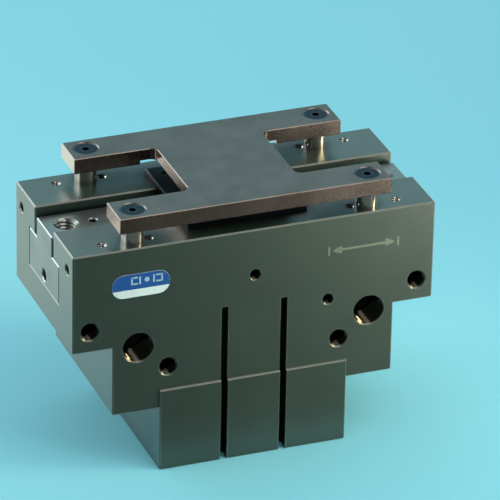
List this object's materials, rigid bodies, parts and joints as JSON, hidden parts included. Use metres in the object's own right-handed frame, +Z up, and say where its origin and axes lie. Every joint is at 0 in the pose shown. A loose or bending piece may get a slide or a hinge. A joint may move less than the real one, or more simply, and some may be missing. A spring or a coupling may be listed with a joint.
{
  "type": "pneumatic parallel gripper",
  "caption": "Stepped dark green gripper body with sliding jaws in a T-slot, worked by a wedge on a piston, and a sprung H-shaped pusher plate on posts.",
  "frame": {"origin": "middle of the base's underside", "axes": "+Z up through the cylinder, +X along the jaws' travel, the air ports face -Y"},
  "size_m": [0.1516, 0.0718, 0.1144],
  "materials": {
    "anodised": "hard anodised, dark olive, semi-gloss",
    "guard_black": "blued, ground edges",
    "jaw_steel": "hardened and ground",
    "plate_steel": "ground, slightly mottled",
    "post_steel": "hard, polished",
    "blued_steel": "blued",
    "screw_steel": "black oxide",
    "spring_steel": "oiled",
    "rod_steel": "hardened and ground",
    "bare_aluminium": "turned",
    "seal_rubber": "moulded",
    "bush_bronze": "sintered bronze",
    "magnet_black": "bonded ferrite"
  },
  "bodies": {
    "body": {"housing": "anodised", "wedge_guard": "guard_black", "cylinder_cover": "bare_aluminium", "cover_seal": "seal_rubber", "retaining_ring": "screw_steel", "rod_bush": "bush_bronze", "rod_seal": "seal_rubber", "guard_screw_front_left": "screw_steel", "guard_screw_front_right": "screw_steel", "guard_screw_back_left": "screw_steel", "guard_screw_back_right": "screw_steel", "stop_screw_front_left": "screw_steel", "stop_screw_front_right": "screw_steel", "stop_screw_back_left": "screw_steel", "stop_screw_back_right": "screw_steel", "spring_front_left": "spring_steel", "spring_front_right": "spring_steel", "spring_back_left": "spring_steel", "spring_back_right": "spring_steel"},
    "piston_unit": {"wedge_hook": "rod_steel", "piston": "bare_aluminium", "piston_screw": "screw_steel", "upper_piston_seal": "seal_rubber", "lower_piston_seal": "seal_rubber", "piston_magnet": "magnet_black"},
    "left_jaw_unit": {"left_jaw": "jaw_steel"},
    "right_jaw_unit": {"right_jaw": "jaw_steel"},
    "pusher_unit": {"pusher_plate": "plate_steel", "post_front_left": "post_steel", "post_front_right": "post_steel", "post_back_left": "post_steel", "post_back_right": "post_steel", "plate_screw_front_left": "blued_steel", "plate_screw_front_right": "blued_steel", "plate_screw_back_left": "blued_steel", "plate_screw_back_right": "blued_steel"}
  },
  "joints": [
    {"name": "piston_slide", "type": "slide", "parent": "body", "child": "piston_unit", "axis": [0, 0, -1], "range_m": [0, 0.016]},
    {"name": "left_jaw_slide", "type": "slide", "parent": "body", "child": "left_jaw_unit", "axis": [1, 0, 0], "range_m": [0, 0.008]},
    {"name": "right_jaw_slide", "type": "slide", "parent": "body", "child": "right_jaw_unit", "axis": [-1, 0, 0], "range_m": [0, 0.008]},
    {"name": "pusher_slide", "type": "slide", "parent": "body", "child": "pusher_unit", "axis": [0, 0, -1], "range_m": [0, 0.005], "stiffness_N_per_m": 6000, "springref_m": -0.003, "deforming": ["spring_front_left", "spring_front_right", "spring_back_left", "spring_back_right"]}
  ],
  "couplings": [
    {"joint": "left_jaw_slide", "follows": "piston_slide", "ratio": 0.5},
    {"joint": "right_jaw_slide", "follows": "piston_slide", "ratio": 0.5}
  ]
}
